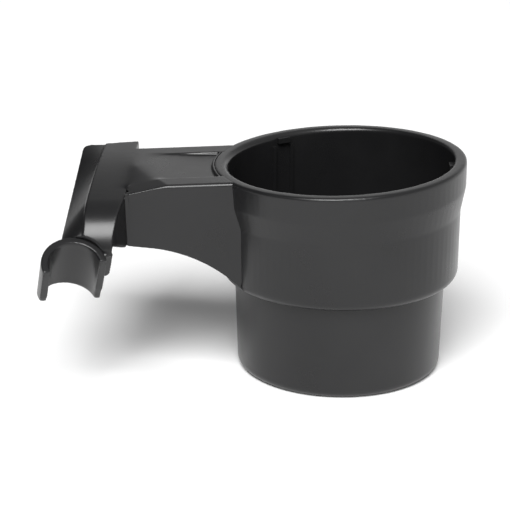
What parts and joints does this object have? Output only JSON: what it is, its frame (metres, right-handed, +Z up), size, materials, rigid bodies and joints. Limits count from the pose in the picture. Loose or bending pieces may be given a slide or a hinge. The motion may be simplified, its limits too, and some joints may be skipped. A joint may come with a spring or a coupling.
{
  "type": "clip-on cup holder",
  "caption": "Clip-on cup holder for a tube frame: round collar with a sliding cup, a side arm, a hooked rail and a half-round saddle for a tube.",
  "frame": {"origin": "centre of the underside of the cup's foot, on the surface it stands on", "axes": "+Z up along the cup's axis, -X out along the arm to the rail, -Y towards the rail's nose and the saddle"},
  "size_m": [0.1539, 0.0974, 0.0801],
  "materials": {
    "holder_plastic": "satin moulded, black",
    "cup_plastic": "satin moulded, black"
  },
  "bodies": {
    "holder": {"collar_barrel": "holder_plastic", "tube_saddle": "holder_plastic", "rail_plate": "holder_plastic", "rail_strip": "holder_plastic", "rail_wall_right": "holder_plastic", "rail_wall_left": "holder_plastic", "rail_end_wall": "holder_plastic", "rail_nose_core": "holder_plastic", "saddle_gusset": "holder_plastic", "saddle_web": "holder_plastic", "rail_cross_rib_1": "holder_plastic", "rail_cross_rib_2": "holder_plastic", "arm_deck": "holder_plastic", "arm_wall_near": "holder_plastic", "arm_wall_far": "holder_plastic", "arm_spine_rib": "holder_plastic", "arm_cross_rib_1_near": "holder_plastic", "arm_cross_rib_1_far": "holder_plastic", "arm_cross_rib_2_near": "holder_plastic", "arm_cross_rib_2_far": "holder_plastic", "stop_tab_000": "holder_plastic", "guide_ribs_000": "holder_plastic", "stop_tab_120": "holder_plastic", "guide_ribs_120": "holder_plastic", "stop_tab_240": "holder_plastic", "guide_ribs_240": "holder_plastic"},
    "cup": {"cup_wall": "cup_plastic", "cup_floor": "cup_plastic", "cup_flange": "cup_plastic"}
  },
  "joints": [
    {"name": "cup_slide", "type": "slide", "parent": "holder", "child": "cup", "axis": [0, 0, 1], "range_m": [0, 0.0353]}
  ]
}
